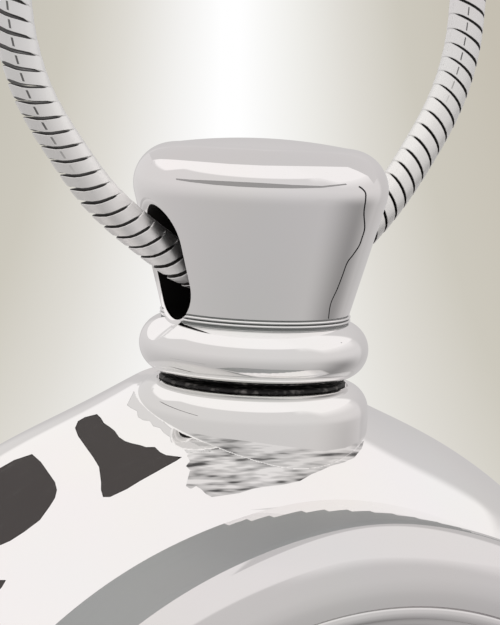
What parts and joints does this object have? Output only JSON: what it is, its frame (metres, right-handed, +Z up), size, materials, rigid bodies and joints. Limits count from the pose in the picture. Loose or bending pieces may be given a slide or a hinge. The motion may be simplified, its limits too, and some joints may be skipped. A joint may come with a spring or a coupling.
{
  "type": "cremation pendant on a snake chain",
  "caption": "Round hollow flask pendant for keepsake ashes, with a flared screw stopper hung on a snake chain loop.",
  "frame": {"origin": "centre of the chain at the top of its hanging loop", "axes": "+Z up, -Y out of the flask's front face, X along the chain's slot through the stopper"},
  "size_m": [0.025, 0.0126, 0.25],
  "materials": {
    "polished_silver": "mirror polished silver",
    "chain_silver": "bright silver with darkened gaps",
    "seal_rubber": "matt black"
  },
  "bodies": {
    "necklace": {"snake_chain": "chain_silver", "clasp_barrel": "polished_silver"},
    "stopper": {"screw_stopper": "polished_silver"},
    "seal": {"seal_ring": "seal_rubber"},
    "flask": {"flask_body": "polished_silver"}
  },
  "joints": [
    {"name": "pendant_swing", "type": "hinge", "parent": "necklace", "child": "stopper", "pos_m": [0, 0, -0.22145], "axis": [1, 0, 0], "range_deg": [-18, 18]},
    {"name": "flask_turn", "type": "hinge", "parent": "stopper", "child": "seal", "pos_m": [0, 0, -0.22345], "axis": [0, 0, -1], "range_deg": [0, 2070]},
    {"name": "flask_drop", "type": "slide", "parent": "seal", "child": "flask", "axis": [0, 0, -1], "range_m": [0, 0.0029]}
  ],
  "couplings": [
    {"joint": "flask_drop", "follows": "flask_turn", "m_per_rad": 0.000079577}
  ]
}
